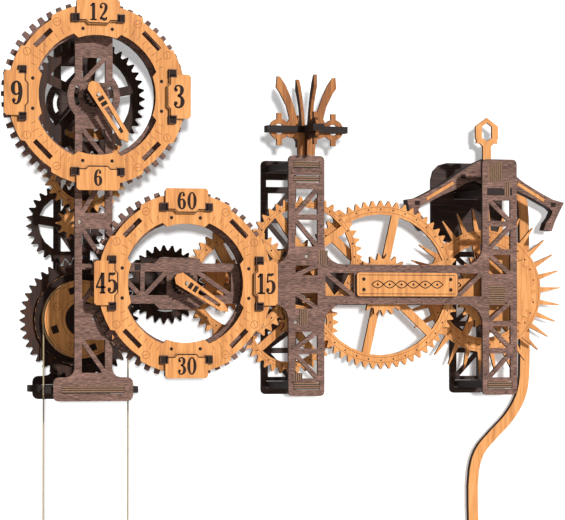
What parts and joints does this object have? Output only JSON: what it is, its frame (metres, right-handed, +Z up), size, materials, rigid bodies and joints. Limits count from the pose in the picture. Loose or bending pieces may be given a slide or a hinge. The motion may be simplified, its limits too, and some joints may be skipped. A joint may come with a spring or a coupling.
{
  "type": "wooden wall clock kit",
  "caption": "Wall-hung wooden pendulum clock of laser-cut plywood, with separate hour and minute dials, an exposed gear train, truss towers, an escape wheel, an anchor and a pendulum.",
  "frame": {"origin": "wall face of the rear bridge plate, on the middle tower's centre line at the height of the minute arbor", "axes": "+X to the right seen from the front, +Y into the wall, +Z up"},
  "size_m": [0.5476, 0.1245, 0.6182],
  "materials": {
    "plywood_honey": "laser-cut plywood, clear matt",
    "plywood_umber": "laser-cut plywood, umber stain",
    "plywood_dark": "laser-cut plywood, dark stain",
    "steel_rod": "drawn steel rod",
    "twine": "twisted twine"
  },
  "bodies": {
    "frame": {"hour_tower_front": "plywood_umber", "hour_tower_rear": "plywood_umber", "minute_arm_front": "plywood_umber", "minute_arm_rear": "plywood_umber", "bridge_front": "plywood_umber", "bridge_rear": "plywood_umber", "name_plate": "plywood_honey", "spacer_hour_top": "plywood_umber", "spacer_hour_foot": "plywood_umber", "spacer_middle_top": "plywood_umber", "spacer_middle_foot": "plywood_umber", "spacer_right_top": "plywood_umber", "spacer_right_foot": "plywood_umber", "spacer_arm": "plywood_umber", "finial_blades": "plywood_honey", "finial_cross": "plywood_dark", "drive_cord": "twine", "winding_cord": "twine", "drive_weight": "plywood_dark", "winding_weight": "plywood_honey", "hour_dial_ring": "plywood_honey", "hour_dial_back": "plywood_umber", "hour_numeral_3": "plywood_honey", "hour_numeral_12": "plywood_honey", "hour_numeral_9": "plywood_honey", "hour_numeral_6": "plywood_honey", "minute_dial_ring": "plywood_honey", "minute_dial_back": "plywood_umber", "minute_numeral_15": "plywood_honey", "minute_numeral_60": "plywood_honey", "minute_numeral_45": "plywood_honey", "minute_numeral_30": "plywood_honey"},
    "minute_train": {"minute_arbor": "steel_rod", "minute_wheel": "plywood_dark", "minute_hand": "plywood_honey"},
    "great_train": {"great_arbor": "steel_rod", "great_wheel": "plywood_dark", "drum": "plywood_honey", "winding_drum": "plywood_dark"},
    "idler_train": {"idler_arbor": "plywood_honey", "idler_wheel": "plywood_dark"},
    "third_train": {"third_arbor": "plywood_honey", "third_wheel": "plywood_honey"},
    "hour_train": {"hour_arbor": "steel_rod", "hour_wheel": "plywood_dark", "hour_hand": "plywood_honey"},
    "centre_train": {"centre_arbor": "plywood_honey", "centre_wheel": "plywood_honey"},
    "lower_train": {"lower_arbor": "plywood_honey", "lower_wheel": "plywood_honey"},
    "upper_train": {"upper_arbor": "plywood_honey", "upper_wheel": "plywood_honey"},
    "large_train": {"large_arbor": "plywood_honey", "large_wheel": "plywood_honey"},
    "escape_train": {"escape_arbor": "plywood_honey", "escape_wheel": "plywood_honey"},
    "pendulum": {"pivot_arbor": "plywood_honey", "anchor": "plywood_umber", "pendulum_rod": "plywood_honey", "pendulum_bob": "plywood_dark"}
  },
  "joints": [
    {"name": "minute_hand_turn", "type": "hinge", "parent": "frame", "child": "minute_train", "pos_m": [-0.1165, -0.04, 0], "axis": [0, 1, 0], "continuous": true},
    {"name": "great_turn", "type": "hinge", "parent": "frame", "child": "great_train", "pos_m": [-0.197, -0.04, -0.03165], "axis": [0, 1, 0], "continuous": true},
    {"name": "idler_turn", "type": "hinge", "parent": "frame", "child": "idler_train", "pos_m": [-0.21, -0.04, 0.05386], "axis": [0, 1, 0], "continuous": true},
    {"name": "third_turn", "type": "hinge", "parent": "frame", "child": "third_train", "pos_m": [-0.197, -0.04, 0.1024], "axis": [0, 1, 0], "continuous": true},
    {"name": "hour_turn", "type": "hinge", "parent": "frame", "child": "hour_train", "pos_m": [-0.197, -0.04, 0.16515], "axis": [0, 1, 0], "continuous": true},
    {"name": "centre_turn", "type": "hinge", "parent": "frame", "child": "centre_train", "pos_m": [-0.06, -0.04, 0], "axis": [0, 1, 0], "continuous": true},
    {"name": "lower_turn", "type": "hinge", "parent": "frame", "child": "lower_train", "pos_m": [-0.01049, -0.04, -0.03433], "axis": [0, 1, 0], "continuous": true},
    {"name": "upper_turn", "type": "hinge", "parent": "frame", "child": "upper_train", "pos_m": [0, -0.04, 0.025], "axis": [0, 1, 0], "continuous": true},
    {"name": "large_turn", "type": "hinge", "parent": "frame", "child": "large_train", "pos_m": [0.07494, -0.04, 0], "axis": [0, 1, 0], "continuous": true},
    {"name": "escape_turn", "type": "hinge", "parent": "frame", "child": "escape_train", "pos_m": [0.18758, -0.04, -0.005], "axis": [0, 1, 0], "continuous": true},
    {"name": "pendulum_swing", "type": "hinge", "parent": "frame", "child": "pendulum", "pos_m": [0.18758, -0.04, 0.106], "axis": [0, 1, 0], "range_deg": [-2, 2]}
  ],
  "couplings": [
    {"joint": "great_turn", "follows": "minute_hand_turn", "ratio": -0.64286},
    {"joint": "idler_turn", "follows": "minute_hand_turn", "ratio": 1},
    {"joint": "third_turn", "follows": "minute_hand_turn", "ratio": -0.33333},
    {"joint": "hour_turn", "follows": "minute_hand_turn", "ratio": 0.083333},
    {"joint": "centre_turn", "follows": "minute_hand_turn", "ratio": -1.5},
    {"joint": "lower_turn", "follows": "minute_hand_turn", "ratio": 7.5},
    {"joint": "upper_turn", "follows": "minute_hand_turn", "ratio": -22.5},
    {"joint": "large_turn", "follows": "minute_hand_turn", "ratio": 45},
    {"joint": "escape_turn", "follows": "minute_hand_turn", "ratio": -90}
  ]
}
